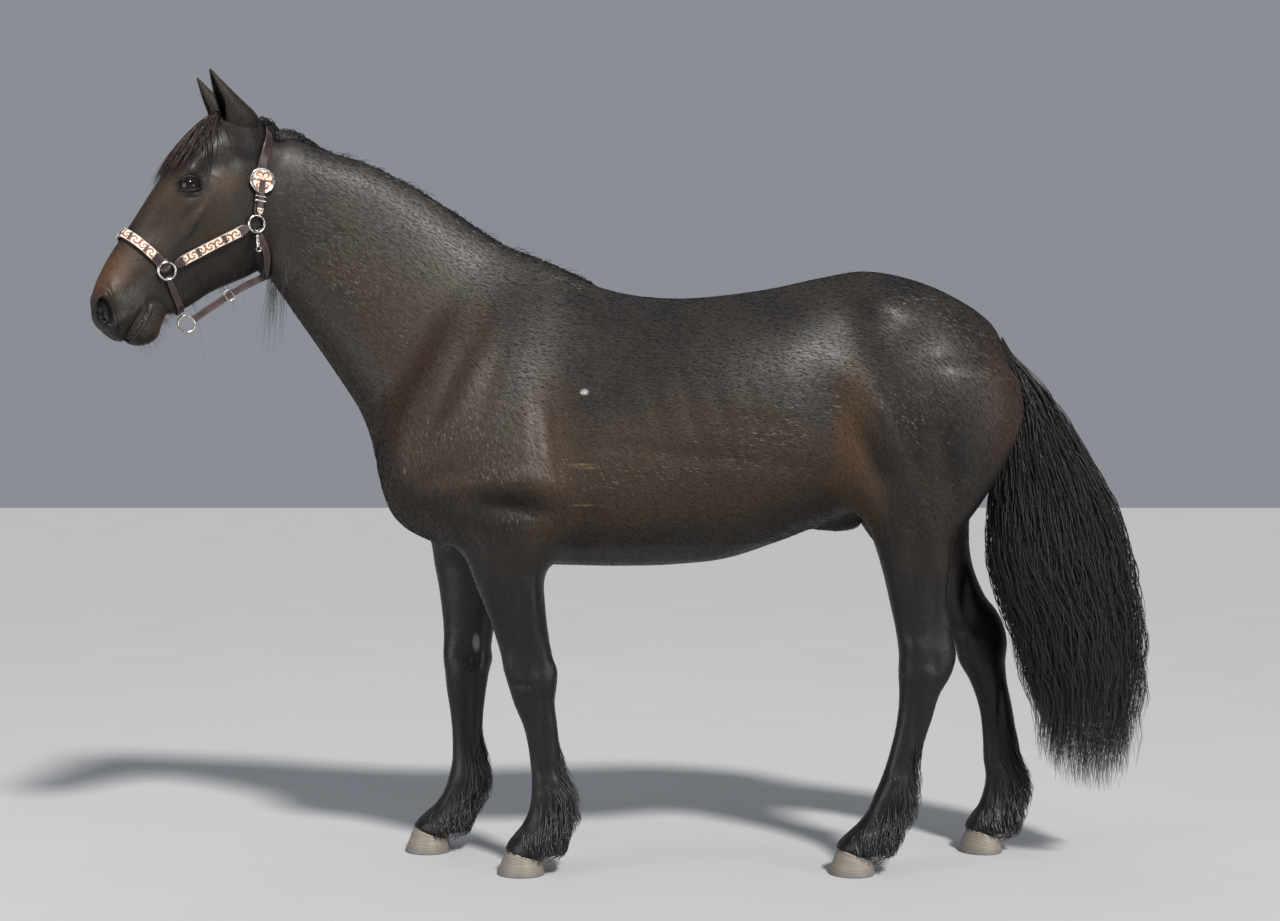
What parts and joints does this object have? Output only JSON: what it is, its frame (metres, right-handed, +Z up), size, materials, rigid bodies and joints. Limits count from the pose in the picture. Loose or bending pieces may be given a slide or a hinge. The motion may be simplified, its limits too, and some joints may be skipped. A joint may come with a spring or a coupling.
{
  "type": "horse",
  "caption": "Life-size dark horse standing square, head turned slightly to its left, with a long wavy tail, pulled mane, feathered fetlocks and a tooled leather show halter.",
  "frame": {"origin": "on the floor under the hooves, at the middle of the horse's outline seen from above", "axes": "-X is the way the horse faces, +Y its right side, +Z up"},
  "size_m": [2.6935, 0.5931, 2.0307],
  "materials": {
    "coat": "short flat summer coat, near-black brown with a soft sheen, tan at the muzzle and flank",
    "long_hair": "coarse black hair in locks",
    "hoof_horn": "pale dry horn with growth rings",
    "eye": "wet, dark brown",
    "halter_leather": "oiled dark brown strap leather with pale tooled overlays",
    "halter_metal": "polished silver-coloured fittings with darkened hollows"
  },
  "bodies": {
    "root": {"head": "coat", "neck": "coat", "trunk": "coat", "foreleg_left": "coat", "foreleg_right": "coat", "hindleg_left": "coat", "hindleg_right": "coat", "ear_left": "coat", "ear_right": "coat", "eye_left": "eye", "eye_right": "eye", "mane": "long_hair", "forelock": "long_hair", "tail": "long_hair", "hoof_fore_left": "hoof_horn", "hoof_fore_right": "hoof_horn", "hoof_hind_left": "hoof_horn", "hoof_hind_right": "hoof_horn", "halter_crown": "halter_leather", "halter_noseband": "halter_leather", "halter_chin_strap": "halter_leather", "halter_throat_strap": "halter_leather", "halter_cheek_strap_left": "halter_leather", "halter_cheek_strap_right": "halter_leather", "halter_jaw_strap": "halter_leather", "halter_throat_ring_left": "halter_metal", "halter_throat_ring_right": "halter_metal", "halter_nose_ring_left": "halter_metal", "halter_nose_ring_right": "halter_metal", "halter_chin_ring": "halter_metal", "halter_concho": "halter_metal"}
  },
  "joints": []
}
